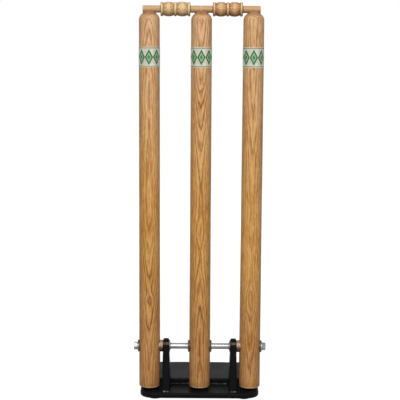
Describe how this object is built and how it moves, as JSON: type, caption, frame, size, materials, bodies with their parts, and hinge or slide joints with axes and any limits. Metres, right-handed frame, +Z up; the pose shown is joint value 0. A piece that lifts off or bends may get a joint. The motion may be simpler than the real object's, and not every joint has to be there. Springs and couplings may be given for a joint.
{
  "type": "cricket stumps",
  "caption": "Free-standing wicket of round wooden stumps and turned bails on a heavy cast base; the stumps tip back on a clamp bolt through two lugs.",
  "frame": {"origin": "on the ground under the middle of the bounding box, which is the middle of the base", "axes": "+Z up along the stumps, +Y from the bowler's side to the back of the base, +X to the right as seen from the bowler's side, along the clamp bolt towards its head"},
  "size_m": [0.2504, 0.167, 0.7408],
  "materials": {
    "stump_wood": "lacquered ash, satin, with open cathedral grain",
    "pale_bail_wood": "lacquered pale turned wood, satin",
    "red_bail_wood": "lacquered reddish turned wood, satin",
    "printed_band": "off-white film printed with green lines and lozenges",
    "black_iron": "cast iron with satin black enamel",
    "foot_rubber": "black moulded rubber, matt",
    "zinc_steel": "bright zinc plate",
    "brown_leather": "dark oiled leather with paler cut edges"
  },
  "bodies": {
    "base": {"base_casting": "black_iron", "front_left_foot": "foot_rubber", "front_right_foot": "foot_rubber", "rear_left_foot": "foot_rubber", "rear_right_foot": "foot_rubber", "clamp_bolt": "zinc_steel", "clamp_nut": "zinc_steel", "spring_washer": "zinc_steel", "left_end_washer": "zinc_steel", "right_end_washer": "zinc_steel", "left_inner_tube_washer": "zinc_steel", "right_inner_tube_washer": "zinc_steel", "left_lug_tube_washer": "zinc_steel", "right_lug_tube_washer": "zinc_steel", "left_spacer_tube": "zinc_steel", "right_spacer_tube": "zinc_steel", "left_lug_pad": "brown_leather", "right_lug_pad": "brown_leather"},
    "left_stump": {"left_stump": "stump_wood", "left_label": "printed_band", "left_packing": "brown_leather", "left_outer_saddle": "brown_leather"},
    "middle_stump": {"middle_stump": "stump_wood", "middle_label": "printed_band", "middle_saddle_left": "brown_leather", "middle_saddle_right": "brown_leather"},
    "right_stump": {"right_stump": "stump_wood", "right_label": "printed_band", "right_packing": "brown_leather", "right_outer_saddle": "brown_leather"},
    "left_bail": {"left_bail": "pale_bail_wood"},
    "right_bail": {"right_bail": "red_bail_wood"}
  },
  "joints": [
    {"name": "middle_stump_tilt", "type": "hinge", "parent": "base", "child": "middle_stump", "pos_m": [0, -0.0495, 0.0951], "axis": [-1, 0, 0], "range_deg": [0, 96]},
    {"name": "left_stump_tilt", "type": "hinge", "parent": "base", "child": "left_stump", "pos_m": [-0.09525, -0.0495, 0.0951], "axis": [-1, 0, 0], "range_deg": [0, 96]},
    {"name": "right_stump_tilt", "type": "hinge", "parent": "base", "child": "right_stump", "pos_m": [0.09525, -0.0495, 0.0951], "axis": [-1, 0, 0], "range_deg": [0, 96]},
    {"name": "left_bail_lift", "type": "slide", "parent": "middle_stump", "child": "left_bail", "axis": [0, 0, 1], "range_m": [0, 0.06]},
    {"name": "right_bail_lift", "type": "slide", "parent": "middle_stump", "child": "right_bail", "axis": [0, 0, 1], "range_m": [0, 0.06]}
  ],
  "couplings": [
    {"joint": "left_stump_tilt", "follows": "middle_stump_tilt", "ratio": 1},
    {"joint": "right_stump_tilt", "follows": "middle_stump_tilt", "ratio": 1}
  ]
}
